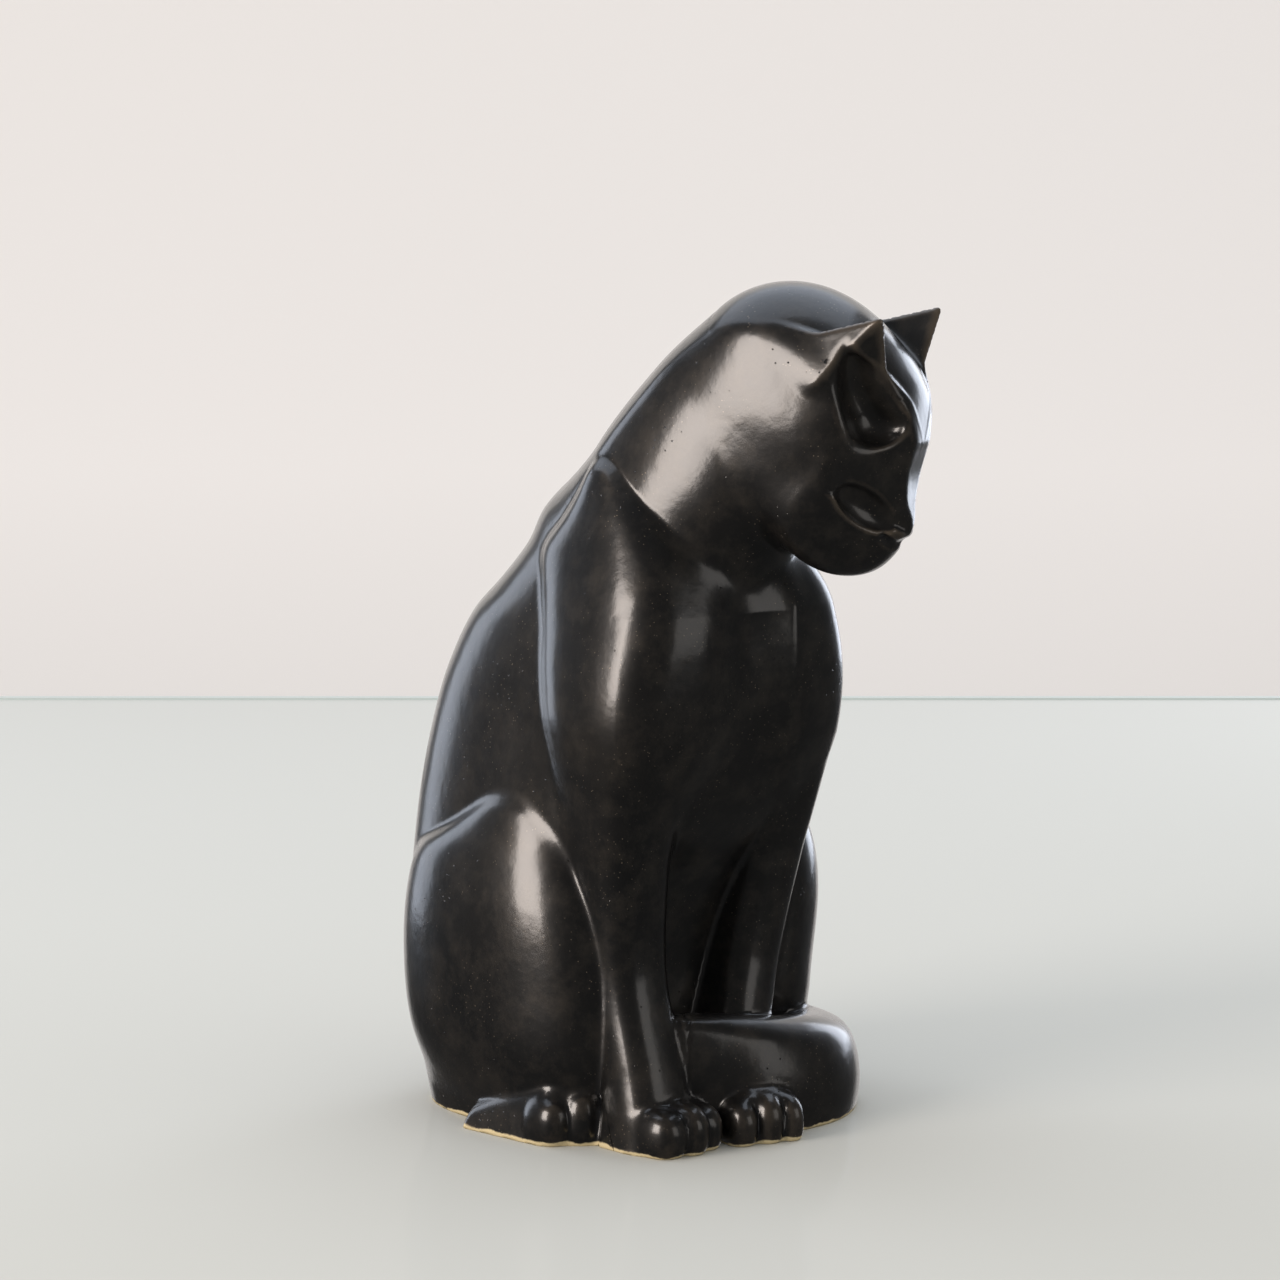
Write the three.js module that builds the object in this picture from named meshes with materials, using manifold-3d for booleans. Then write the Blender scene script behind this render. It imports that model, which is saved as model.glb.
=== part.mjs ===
// Seated ceramic cat, millimetres, +Z up. The cat faces -Y with its head bowed and turned to its own left (+X).
// The body is a hollow fired casting with luted-on limbs. A slab closes the base, and a rubber stopper closes
// the filling hole in the slab. The origin is on the ground, under the front of the base slab.
import * as THREE from 'three';
import { mergeVertices } from 'three/addons/utils/BufferGeometryUtils.js';
import { ConvexGeometry } from 'three/addons/geometries/ConvexGeometry.js';
import Module from 'manifold-3d';

const wasm = await Module();
wasm.setup();

// Driving dimensions
const WALL = 7;                       // thickness of the cast wall
const GAP = 0.3;                      // joint line between two luted pieces
const SLAB = 9;                       // thickness of the base slab
const HOLE = { y: 30, radius: 18.9, recessRadius: 23.2, recessDepth: 4 };
const STOPPER = { flangeRadius: 22.6, flangeBottom: 1.2, flangeTop: 3.7, plugRadius: 18.5, tipRadius: 17, top: 14 };
const PULL = { dishRadius: 12, dishTop: 7, barWidth: 5 };
const HEAD_AT = new THREE.Vector3(25, -78, 232);
const HEAD_TURN = 28;                 // degrees, to the cat's left
const HEAD_BOW = 40;                  // degrees, nose down
const COLLAR = { point: [0, 12, 217], normal: [0, -0.457, 0.89] };   // where the neck is luted to the shoulders
const HUGE = 600;                     // side of a cutting block

// Horizontal sections: height, centre x, front y, back y, half width, squareness
const TORSO = [
  [0, 0, -28, 66, 52, 2.8], [30, 0, -28, 72, 54, 3.0], [60, 0, -28, 74, 54, 3.2], [85, 0, -36, 74, 52, 3.3],
  [108, 0, -50, 73, 50, 3.3], [133, 0, -58, 68, 48, 3.2], [150, 0, -60, 62, 47, 3.0], [168, 0, -60, 53, 44, 2.7],
  [180, 1, -60, 43, 41, 2.4], [192, 2, -60, 34, 38, 2.2], [204, 3, -60, 29, 35, 2.1], [217, 5, -59, 14, 31, 2.1],
  [230, 9, -58, -4, 26, 2.1],
];
const RIGHT_FORELEG = [
  [0, 30, -60, -34, 13.5, 2.6], [12, 29.5, -57, -31, 13, 2.6], [26, 29, -53, -27, 12.8, 2.6],
  [56, 29, -45, -17, 13, 2.7], [89, 30.5, -47, -13, 14.6, 2.8], [101, 31, -49.5, -14, 15.8, 2.8],
  [112, 31.3, -52, -14.5, 17, 2.8], [125, 31.6, -56, -13, 18.8, 2.8], [140, 31.3, -60, -8.5, 20.8, 2.7],
  [155, 29.3, -62, -4.5, 22, 2.6], [168, 27, -62.5, -1.5, 21.8, 2.6], [180, 24.8, -60.5, 2, 21.2, 2.6],
  [193, 22.5, -55.5, 5.5, 19.2, 2.6], [204, 21, -47, -3, 16.8, 2.6], [211, 20, -40, -8, 15, 2.7],
  [218, 19, -32, -11.5, 12.5, 2.6], [221, 18.5, -28, -13, 9.5, 2.5],
].map(([z, x, ...rest]) => [z, -x, ...rest]);
const LEFT_FORELEG = [
  [0, 9.5, -50, -24, 13, 2.6], [12, 11, -49, -22, 12.6, 2.6], [26, 14, -47, -20, 12.4, 2.6],
  [38, 18, -45, -18, 12.2, 2.6], [56, 24, -42, -15, 12.4, 2.6], [89, 31, -44.5, -12, 13.2, 2.8],
  [101, 32, -47, -12, 14.4, 3], [112, 32.3, -50, -12, 15.4, 3.2], [125, 31.8, -54, -11, 17, 3.4],
  [140, 30.5, -58, -8, 18.9, 3.5], [155, 28.5, -60.5, -4.5, 20, 3.5], [168, 26, -61, -1.5, 20.1, 3.4],
  [180, 23, -60, 2, 20, 3.2], [193, 20, -55, 5.5, 17.4, 2.6], [204, 19, -47, -3, 15.6, 2.6],
  [211, 18.5, -40, -8, 14.6, 2.7], [218, 18, -32, -11.5, 12.5, 2.6], [221, 18, -28, -13, 9.5, 2.5],
];
const RIGHT_HAUNCH = [
  [0, -33, -28, 46, 18, 2.4], [11, -34, -32, 54, 22, 2.4], [28, -35.5, -36, 61, 25.5, 2.4],
  [51, -36, -36, 64, 26, 2.4], [75, -35.5, -33, 62, 25.8, 2.4], [90, -34.5, -28, 55.5, 24.5, 2.4],
  [100, -34, -24.5, 38.5, 21.5, 2.3], [108, -34, -17, 24, 17.5, 2.2], [112.5, -34, -9, 13, 12, 2.1],
];

// Beads along a limb: centre x, y, z and radii x, y, z
const NECK = [
  [0, -15, 172, 33, 34, 30], [4, -28, 209, 36, 43, 32], [11, -44, 235, 34, 38, 33],
  [17, -58, 250.5, 31.5, 33, 31],
];
const TAIL = [
  [22, 60, 9, 16, 18, 25], [48, 44, 9, 16, 18, 25], [59, 16, 9, 16.5, 18, 24], [58.5, -12, 9, 18, 18, 22.5],
  [51, -34, 9.5, 18.5, 17.5, 23.5], [35, -47, 11, 18, 17, 25], [14, -50, 13, 15, 15, 26], [-3, -47, 17, 13, 12, 25],
  [-16, -44, 24, 9, 9, 19],
];
const LEFT_HAUNCH = [[41, 14, 45, 31, 49, 55], [46, 2, 76, 27, 34, 38]];

// Paws: a heel bead, then one bead for each toe
const RIGHT_HIND_PAW = [[-47, 3, 4, 12.5, 10, 9], [-52, -21, 7, 7.5, 9.5, 9.5], [-44, -26, 8, 7, 9.5, 11]];
const RIGHT_FOREPAW = [
  [-28, -47, 9, 13, 8, 12], [-34.5, -55.5, 6.5, 7.5, 11, 9], [-26, -57, 7, 6.2, 11, 9.5],
  [-18.5, -56, 6.5, 6, 10, 8.5],
];
const LEFT_PAW_AT = [5, -61, 0];
const LEFT_PAW_TURN = -15;            // degrees
const LEFT_FOREPAW = [
  [-1, 12, 8, 12, 8, 10], [-9.5, -1.5, 6, 5.6, 10, 8.5], [0, -1.5, 6.5, 5.6, 10, 9.5], [8, -1.5, 6, 5, 9.5, 9],
];

// Beads in the head's own frame: x to the cat's left, -y along the nose, z to the crown
const HEAD = [
  [0, 12, 0.5, 34.5, 40, 34], [0, -6, -12, 28.5, 24.5, 24], [0, -19, -17, 19, 17.5, 17.5], [0, -29, -9, 7, 8, 7.5],
];
const EAR = [
  [29, 8, 46.2, 0.8, 0.8, 0.8], [32.7, 10.8, 13, 0.8, 0.8, 0.8], [23.4, 33, 13, 0.8, 0.8, 0.8],
  [5.5, -13.8, 13, 0.8, 0.8, 0.8],
];
const EAR_RECESS = {
  at: [22.7, -3.5, 23], radii: [16, 8.3, 10], along: [0.275, 0.577, 0.77], out: [0.65, -0.7, 0.29],
};
const EYE_RECESS = {
  at: [17.5, -24.6, -7.6], radii: [13, 5.2, 5.8], along: [0.695, 0.714, 0.094], out: [0.69, -0.685, 0.1],
};

// ---- closed solids from three.js geometry ----

/** A manifold solid from a closed three.js geometry, with its faces turned outwards. */
function solid(geometry) {
  geometry.deleteAttribute('normal');
  geometry.deleteAttribute('uv');
  const merged = mergeVertices(geometry, 1e-4);
  const vertProperties = new Float32Array(merged.getAttribute('position').array);
  const index = merged.getIndex().array;
  const corners = [];
  for (let i = 0; i < index.length; i += 3) {
    const [a, b, c] = [index[i], index[i + 1], index[i + 2]];
    if (a !== b && b !== c && c !== a) corners.push(a, b, c);
  }
  const point = (i) => new THREE.Vector3().fromArray(vertProperties, 3 * i);
  let volume = 0;
  for (let i = 0; i < corners.length; i += 3) {
    volume += point(corners[i]).dot(point(corners[i + 1]).cross(point(corners[i + 2])));
  }
  if (volume < 0) corners.reverse();
  return new wasm.Manifold(new wasm.Mesh({ numProp: 3, vertProperties, triVerts: new Uint32Array(corners) }));
}

/** A closed column through horizontal superellipse sections, each side moved out by `grow`. */
function column(sections, grow = 0, segments = 24) {
  const heights = sections.map((row) => row[0]);
  const profile = [[0, heights[0]], ...heights.map((z) => [1, z]), [0, heights.at(-1)]];
  const geometry = new THREE.LatheGeometry(profile.map(([r, z]) => new THREE.Vector2(r, z)), segments);
  const position = geometry.getAttribute('position');
  for (let i = 0; i < position.count; i += 1) {
    const ring = Math.min(Math.max((i % profile.length) - 1, 0), sections.length - 1);
    const [z, xc, front, back, half, square] = sections[ring];
    const angle = Math.atan2(position.getZ(i), position.getX(i));
    const reach = Math.hypot(position.getX(i), position.getZ(i)) > 0.5 ? 1 : 0;
    const side = (value) => Math.sign(value) * Math.abs(value) ** (2 / square);
    const x = xc + reach * (half + grow) * side(Math.cos(angle));
    const y = (front + back) / 2 + reach * ((back - front) / 2 + grow) * side(Math.sin(angle));
    position.setXYZ(i, x, y, z);
  }
  return solid(geometry);
}

/** An ellipsoid bead as a geometry, with its radii moved out by `grow`. */
function bead([x, y, z, rx, ry, rz], grow, segments) {
  const geometry = new THREE.SphereGeometry(1, segments, Math.round(segments * 0.7));
  return geometry.scale(rx + grow, ry + grow, rz + grow).translate(x, y, z);
}

/** The points of a geometry, as vectors. */
function pointsOf(geometry) {
  const position = geometry.getAttribute('position');
  return Array.from({ length: position.count }, (_, i) => new THREE.Vector3().fromBufferAttribute(position, i));
}

/** The convex body around some beads. */
function hull(beads, grow, segments, place = new THREE.Matrix4()) {
  const points = beads.flatMap((row) => pointsOf(bead(row, grow, segments)));
  return solid(new ConvexGeometry(points).applyMatrix4(place));
}

/** A paw: the heel bead wrapped together with each toe bead in turn. */
function fan([heel, ...toes], grow, segments, place) {
  return toes.map((toe) => hull([heel, toe], grow, segments, place)).reduce((sum, next) => sum.add(next));
}

/** A limb of beads: each two neighbours are wrapped in one convex body. */
function limb(beads, grow = 0, segments = 14) {
  let result = hull(beads.slice(0, 2), grow, segments);
  for (let i = 1; i + 1 < beads.length; i += 1) result = result.add(hull(beads.slice(i, i + 2), grow, segments));
  return result;
}

/** Everything on the side of a plane that its normal points to. */
function halfSpace([x, y, z], [nx, ny, nz]) {
  const turn = new THREE.Quaternion().setFromUnitVectors(
    new THREE.Vector3(0, 0, 1), new THREE.Vector3(nx, ny, nz).normalize());
  const block = new THREE.BoxGeometry(HUGE, HUGE, HUGE).translate(0, 0, HUGE / 2);
  return solid(block.applyQuaternion(turn).translate(x, y, z));
}

/** A closed turned piece about a vertical axis at (0, y), from [radius, height] points. */
function turned(points, y, segments = 32) {
  const geometry = new THREE.LatheGeometry(points.map(([r, z]) => new THREE.Vector2(r, z)), segments);
  return solid(geometry.rotateX(Math.PI / 2).translate(0, y, 0));
}

/** The largest separate body of a solid. */
function largest(body) {
  return body.decompose().reduce((best, next) => (next.volume() > best.volume() ? next : best));
}

/** A solid without each of the others. */
const without = (body, ...others) => others.reduce((rest, other) => rest.subtract(other), body);

// ---- the ceramic ----

const headPlace = new THREE.Matrix4().makeRotationFromEuler(
  new THREE.Euler(THREE.MathUtils.degToRad(HEAD_BOW), 0, THREE.MathUtils.degToRad(HEAD_TURN), 'ZXY')).setPosition(HEAD_AT);
const mirrored = ([x, ...rest]) => [-x, ...rest];

const aboveGround = halfSpace([0, 0, 0], [0, 0, 1]);
const aboveCollar = halfSpace(COLLAR.point, COLLAR.normal);
const collarGap = COLLAR.normal.map((n, k) => COLLAR.point[k] - GAP * n);
const belowCollar = halfSpace(collarGap, COLLAR.normal.map((n) => -n));

const torso = (grow = 0) => column(TORSO, grow, 32);
const headAndNeck = (grow = 0) => limb(NECK, grow, 18).add(hull(HEAD, grow, 20, headPlace));
const ear = (side) => hull(side > 0 ? EAR : EAR.map(mirrored), 0, 8, headPlace);
const rightLeg = (grow = 0) => column(RIGHT_FORELEG, grow, 22);
const leftLeg = (grow = 0) => column(LEFT_FORELEG, grow, 22);
const rightHaunch = (grow = 0) => column(RIGHT_HAUNCH, grow, 28);
const leftHaunch = (grow = 0) => hull(LEFT_HAUNCH, grow, 20);
const tailCoil = (grow = 0) => limb(TAIL, grow);

/** The ellipsoid that a recess is carved with, on the left (side 1) or right (side -1) of the head. */
function recess({ at, radii, along, out }, side) {
  const up = new THREE.Vector3(...along).normalize();
  const across = up.clone().cross(new THREE.Vector3(...out)).normalize();
  const basis = new THREE.Matrix4().makeBasis(up, across.clone().cross(up), across).setPosition(...at);
  const geometry = bead([0, 0, 0, ...radii], 0, 18).applyMatrix4(basis).scale(side, 1, 1);
  return solid(geometry.applyMatrix4(headPlace));
}
const recesses = [-1, 1].map((side) => recess(EAR_RECESS, side).add(recess(EYE_RECESS, side)));

const floorCut = TORSO.map((row) => (row[0] === 0 ? [-1, ...row.slice(1)] : row));
const hollow = column(floorCut, -WALL, 24).add(headAndNeck(-WALL));

function bodyShell() {
  const outside = torso().intersect(belowCollar);
  return without(outside, hollow, rightLeg(GAP), leftLeg(GAP));
}

function headShell() {
  const outside = headAndNeck().add(torso()).intersect(aboveCollar);
  return without(outside, hollow, rightLeg(GAP), leftLeg(GAP), ...recesses);
}

function foreleg(leg) {
  return without(leg.intersect(aboveGround), hollow);
}

function haunch(thigh, ...neighbours) {
  return without(thigh.intersect(aboveGround), torso(GAP), ...neighbours);
}

function paw(beads, place, ...neighbours) {
  return without(fan(beads, 0, 14, place).intersect(aboveGround), torso(GAP), ...neighbours);
}

function baseSlab() {
  const sections = [0, SLAB].map((z) => [z, ...TORSO[0].slice(1)]);
  const hole = turned([[0, -1], [HOLE.radius, -1], [HOLE.radius, SLAB + 1], [0, SLAB + 1]], HOLE.y);
  const recess = turned([[0, -1], [HOLE.recessRadius, -1], [HOLE.recessRadius, HOLE.recessDepth],
    [0, HOLE.recessDepth]], HOLE.y);
  return without(column(sections, -WALL - GAP, 24), hole, recess);
}

function stopperPlug() {
  const { flangeRadius, flangeBottom, flangeTop, plugRadius, tipRadius, top } = STOPPER;
  const plug = turned([[0, flangeBottom], [flangeRadius, flangeBottom], [flangeRadius, flangeTop],
    [plugRadius, flangeTop], [plugRadius, flangeTop + 4], [tipRadius, top], [0, top]], HOLE.y);
  const dish = turned([[0, 0], [PULL.dishRadius, 0], [PULL.dishRadius, PULL.dishTop], [0, PULL.dishTop]], HOLE.y);
  const barHeight = flangeTop - flangeBottom;
  const bar = new THREE.BoxGeometry(2 * PULL.dishRadius + 2, PULL.barWidth, barHeight);
  return plug.subtract(dish).add(solid(bar.translate(0, HOLE.y, flangeBottom + barHeight / 2)));
}

// ---- the scene graph ----

const glaze = new THREE.MeshStandardMaterial({ color: 0x14110f, roughness: 0.22, metalness: 0.35 });
const clay = new THREE.MeshStandardMaterial({ color: 0xd8c9a3, roughness: 0.9, metalness: 0 });
const rubber = new THREE.MeshStandardMaterial({ color: 0x1b1b1c, roughness: 0.75, metalness: 0 });

/** A named mesh of the largest body of a solid. */
function piece(name, body, material) {
  const mesh = largest(body).getMesh();
  const geometry = new THREE.BufferGeometry();
  geometry.setAttribute('position', new THREE.BufferAttribute(new Float32Array(mesh.vertProperties), 3));
  geometry.setIndex(new THREE.BufferAttribute(new Uint32Array(mesh.triVerts), 1));
  geometry.computeVertexNormals();
  const result = new THREE.Mesh(geometry, material);
  result.name = name;
  return result;
}

const rightLegRoom = rightLeg(GAP);
const leftLegRoom = leftLeg(GAP);
const rightHaunchRoom = rightHaunch(GAP);
const leftHaunchRoom = leftHaunch(GAP);
const tailRoom = tailCoil(GAP);
const noMove = new THREE.Matrix4();
const leftPawPlace = new THREE.Matrix4().makeRotationZ(THREE.MathUtils.degToRad(LEFT_PAW_TURN))
  .setPosition(...LEFT_PAW_AT);
const tailShape = without(tailCoil().intersect(aboveGround), torso(GAP), leftHaunchRoom, rightHaunchRoom,
  leftLegRoom, rightLegRoom);

const cat = new THREE.Group();
cat.add(
  piece('body_shell', bodyShell(), glaze),
  piece('head_shell', headShell(), glaze),
  piece('right_ear', without(ear(-1), headAndNeck(GAP), ...recesses), glaze),
  piece('left_ear', without(ear(1), headAndNeck(GAP), ...recesses), glaze),
  piece('right_foreleg', foreleg(rightLeg()), glaze),
  piece('left_foreleg', foreleg(leftLeg()), glaze),
  piece('right_haunch', haunch(rightHaunch(), rightLegRoom), glaze),
  piece('left_haunch', haunch(leftHaunch(), leftLegRoom), glaze),
  piece('right_forepaw', paw(RIGHT_FOREPAW, noMove, rightLegRoom, tailRoom), glaze),
  piece('left_forepaw', paw(LEFT_FOREPAW, leftPawPlace, leftLegRoom, rightLegRoom, tailRoom), glaze),
  piece('right_hind_paw', paw(RIGHT_HIND_PAW, noMove, rightHaunchRoom, rightLegRoom), glaze),
  piece('tail', tailShape, glaze),
  piece('base_slab', baseSlab(), clay),
  piece('stopper', stopperPlug(), rubber),
);

export default cat;
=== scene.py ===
"""Seated ceramic cat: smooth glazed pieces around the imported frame.

The sculpt is one continuous form in millimetres, described by signed distances (negative inside). Each
piece of the figurine is the part of that form that lies nearest to its own limb, so neighbours meet
without a step.
"""

from concurrent.futures import ThreadPoolExecutor

import bpy
import numpy as np
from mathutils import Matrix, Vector


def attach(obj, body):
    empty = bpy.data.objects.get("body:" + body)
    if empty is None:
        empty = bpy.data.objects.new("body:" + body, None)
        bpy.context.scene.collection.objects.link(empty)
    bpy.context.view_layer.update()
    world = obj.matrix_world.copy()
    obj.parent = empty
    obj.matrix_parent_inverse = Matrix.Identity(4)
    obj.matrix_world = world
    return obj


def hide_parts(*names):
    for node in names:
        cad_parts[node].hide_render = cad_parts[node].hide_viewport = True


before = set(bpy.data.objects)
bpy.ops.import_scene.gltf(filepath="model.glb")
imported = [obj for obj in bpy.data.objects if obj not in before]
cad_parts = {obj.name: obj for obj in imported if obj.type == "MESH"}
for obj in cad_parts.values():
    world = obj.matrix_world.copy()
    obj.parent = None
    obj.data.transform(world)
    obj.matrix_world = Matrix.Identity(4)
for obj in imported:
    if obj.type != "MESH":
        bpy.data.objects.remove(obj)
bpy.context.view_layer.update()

MM = 0.001
VOXEL = 1.3        # grid step of the sculpt
HEAD_VOXEL = 0.8   # grid step of the head and ears, with their thin rims
FINE_VOXEL = 0.6   # grid step of the stopper
WORKERS = 4
COARSE = 4                                # grid steps between the points of a first, rough look
TINY = 1e-9


# ---------------------------------------------------------------- distances

def smin(a, b, k):
    """The lesser of two distances, blended over a width of k."""
    h = np.clip(0.5 + 0.5 * (b - a) / k, 0, 1)
    return b + (a - b) * h - k * h * (1 - h)


def smax(a, b, k):
    return -smin(-a, -b, k)


def spline(knots, values, t):
    """A smooth curve through values at knots, read at t and held at its ends."""
    x = np.asarray(knots, float)
    y = np.asarray(values, float)
    flat = y.ndim == 1
    if flat:
        y = y[:, None]
    t = np.clip(t, x[0], x[-1])
    m = np.zeros_like(y)
    m[1:-1] = (y[2:] - y[:-2]) / (x[2:] - x[:-2])[:, None]
    m[0] = (y[1] - y[0]) / (x[1] - x[0])
    m[-1] = (y[-1] - y[-2]) / (x[-1] - x[-2])
    i = np.clip(np.searchsorted(x, t, side="right") - 1, 0, len(x) - 2)
    h = x[i + 1] - x[i]
    s = ((t - x[i]) / h)[:, None]
    h = h[:, None]
    out = ((2 * s**3 - 3 * s**2 + 1) * y[i] + (s**3 - 2 * s**2 + s) * h * m[i]
           + (3 * s**2 - 2 * s**3) * y[i + 1] + (s**3 - s**2) * h * m[i + 1])
    return out[:, 0] if flat else out


def egg(q, r):
    """Distance to an ellipsoid of radii r, for points q from its centre."""
    k0 = np.sqrt(((q / r) ** 2).sum(-1))
    k1 = np.sqrt(((q / (r * r)) ** 2).sum(-1)) + TINY
    return k0 * (k0 - 1) / k1


def ellipsoid(p, centre, radii, axes=None):
    q = p - np.asarray(centre, float)
    return egg(q if axes is None else q @ axes, np.asarray(radii, float))


def pebble(p, centre, radii, n):
    """Distance to a squarish ellipsoid, n being its squareness."""
    q = np.abs(p - np.asarray(centre, float)) / radii
    g = ((q**n).sum(-1) + 1e-12) ** (1 / n)
    slope = np.sqrt((((q / g[:, None]) ** (n - 1) / radii) ** 2).sum(-1))
    return (g - 1) / np.maximum(slope, 1e-6)


def turned(yaw=0, pitch=0):
    """Columns are a part's own axes: turned about Z, then tipped about its own X, in degrees."""
    a, b = np.radians([yaw, pitch])
    rz = np.array([[np.cos(a), -np.sin(a), 0], [np.sin(a), np.cos(a), 0], [0, 0, 1]])
    rx = np.array([[1, 0, 0], [0, np.cos(b), -np.sin(b)], [0, np.sin(b), np.cos(b)]])
    return rz @ rx


REFINE = (0.5, 0.2, 0.08)                 # parts of a step within which a place on a curve is refined


def sweep(p, stations, steps=5):
    """Distance to a limb: ellipsoids whose centre and radii follow a curve. Rows: x y z rx ry rz.

    The nearest of a few ellipsoids per row is found first, and its place on the curve is then refined.
    """
    rows = np.asarray(stations, float)
    knots = np.concatenate([[0], np.cumsum(np.linalg.norm(np.diff(rows[:, :3], axis=0), axis=1))])
    at = np.linspace(0, knots[-1], steps * (len(rows) - 1) + 1)

    def reach(s):
        return (((p - s[..., :3]) / s[..., 3:]) ** 2).sum(-1)

    best = np.full(len(p), 1e9)
    nearest = np.zeros(len(p), int)
    for i, s in enumerate(spline(knots, rows, at)):
        g = reach(s)
        closer = g < best
        best[closer] = g[closer]
        nearest[closer] = i
    t = at[nearest]
    for part in REFINE:
        h = part * at[1]
        g0, g1, g2 = (reach(spline(knots, rows, t + d)) for d in (-h, 0, h))
        bend = g0 - 2 * g1 + g2
        shift = np.where(bend > 1e-12, 0.5 * (g0 - g2) / np.maximum(bend, 1e-12) * h, 0)
        t = np.clip(t + np.clip(shift, -1.5 * h, 1.5 * h), 0, knots[-1])
    s = spline(knots, rows, t)
    return egg(p - s[:, :3], s[:, 3:])


def column(p, rows):
    """Distance to stacked level sections. Rows: z, centre x, front y, back y, half width, squareness."""
    rows = np.asarray(rows, float)
    xc, front, back, half, n = spline(rows[:, 0], rows[:, 1:], p[:, 2]).T
    deep = (back - front) / 2
    x = np.abs(p[:, 0] - xc) / half
    y = np.abs(p[:, 1] - (front + back) / 2) / deep
    g = (x**n + y**n + 1e-12) ** (1 / n)
    slope = np.hypot((x / g) ** (n - 1) / half, (y / g) ** (n - 1) / deep)
    return (g - 1) / np.sqrt(slope**2 + TINY)


def boxed(shape, low, high, pad=9.0):
    """The same distance, computed only for points near the box that holds the shape."""
    low = np.asarray(low, float) - pad
    high = np.asarray(high, float) + pad

    def quick(p):
        outside = np.maximum(np.maximum(low - p, p - high), 0)
        away = np.sqrt((outside**2).sum(1))
        out = away + 0.9 * pad
        inside = away <= 0
        if inside.any():
            out[inside] = shape(p[inside])
        return out
    return quick


# ---------------------------------------------------------------- the cat

TORSO = [
    [0, 0, -28, 66, 52, 2.8], [30, 0, -28, 72, 54, 3.0], [60, 0, -28, 74, 54, 3.2],
    [85, 0, -36, 74, 52, 3.3], [108, 0, -50, 73, 50, 3.3], [133, 0, -58, 68, 48, 3.2],
    [150, 0, -60, 62, 47, 3.0], [168, 0, -60, 53, 44, 2.7], [180, 1, -60, 43, 41, 2.4],
    [192, 2, -60, 34, 38, 2.2], [204, 3, -60, 29, 35, 2.1], [217, 5, -59, 14, 31, 2.1],
    [230, 9, -58, -4, 26, 2.1], [250, 14, -62, -24, 18, 2.1],
]
TORSO_TOP = 236                           # inside the neck


def torso(p):
    return smax(column(p, TORSO), p[:, 2] - TORSO_TOP, 10)


# The head's own frame: x to the cat's left, y backwards, z up. The head is bowed and turned to the left.
HEAD_AT = np.array([25.0, -78.0, 232.0])
HEAD_AXES = turned(yaw=28, pitch=40)
NECK = np.array([
    [0, -15, 172, 33, 34, 30], [4, -30, 208, 34, 41, 30], [11, -46, 234, 32, 36, 31],
    [17, -60, 250, 29.5, 31, 30.5],
])
NECK_TALL = NECK + [0, 5, 3, -1, 7, 6]
NECK_WIDE = NECK + [0, 0, 0, 3.5, 0, 0]


def facing(*corners):
    """The plane through three corners, as its normal and its distance from the origin."""
    a, b, c = (np.asarray(v, float) for v in corners)
    n = np.cross(b - a, c - a)
    n /= np.linalg.norm(n)
    return n, a @ n


EAR_TIP = (29.8, 7.6, 47.6)
EAR_CREST = (24.5, 30.4, 16.5)            # where the ear's upper edge leaves the skull
EAR_SIDE = facing(EAR_TIP, (32.5, 9.9, 21.9), EAR_CREST)
EAR_TOP = facing(EAR_TIP, EAR_CREST, (18.5, -2.4, 31.7))
EAR_FRONT = facing(EAR_TIP, (18.5, -2.4, 31.7), (32.5, 9.9, 21.9))
EAR_FOOT = 12                             # height in the head where the ear's planes stop
EAR_RIM = 2.4                             # what is left between the hollow and the ear's upper face
LID = facing((22, -12.8, 5.6), (5.5, -28, 6), (4, -34, -5))


def framed(along, out):
    """Columns are a recess's own axes: along it, out of it, and across both."""
    axes = np.stack([along, out, np.cross(along, out)], 1)
    return axes / np.linalg.norm(axes, axis=0)


SCOOP_AXES = framed([0.275, 0.577, 0.77], [0.65, -0.70, 0.29])
SCOOP = [                                 # the hollow in front of the ear, in those axes
    [13.5, 24.8, -1, 10, 9, 10.5], [22, 23.8, 1.5, 9, 8.5, 10.5], [30, 24, 2.4, 8, 7.5, 9.4],
    [37, 26, 1.5, 5, 5, 6],
]
SCOOP_TOP = 30
EYE_AXES = framed([0.695, 0.714, 0.094], [0.69, -0.685, 0.1])
MOUTH = [[0, -39, -12.5, 2, 1.5, 1.5], [5, -37.5, -14, 2, 1.4, 1.4], [10, -33.5, -13.5, 2, 1, 1]]
CHEEK = np.array([32, 19, -3])            # a flattened facet on the side of the face
CHEEK_OUT = np.array([0.989, 0.141, 0.039])


def head_space(p):
    return (p - HEAD_AT) @ HEAD_AXES


def beyond(q, plane):
    return q @ plane[0] - plane[1]


def ear(m):
    f = smax(beyond(m, EAR_SIDE), beyond(m, EAR_TOP), 1.8)
    f = smax(f, beyond(m, EAR_FRONT), 1.8)
    return smax(f, EAR_FOOT - m[:, 2], 7)


PROFILE = np.array([                      # z and y of the face's outline, chin to crown
    [-46, -22], [-38, -30], [-31.5, -35.2], [-24.6, -37.8], [-19, -38.2], [-13.6, -37.4],
    [-9, -37.6], [-5, -35.2], [-1.2, -31.1], [5.8, -26.3], [13, -23.0], [17, -21.2], [26, -13],
    [32, -8], [38, -8], [60, -8],
])


def in_front(q):
    """Distance in front of the face's outline in its middle plane."""
    z, y = PROFILE.T
    slope = spline(z, y, q[:, 2] + 0.5) - spline(z, y, q[:, 2] - 0.5)
    return (spline(z, y, q[:, 2]) - q[:, 1]) / np.sqrt(1 + slope**2)


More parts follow.
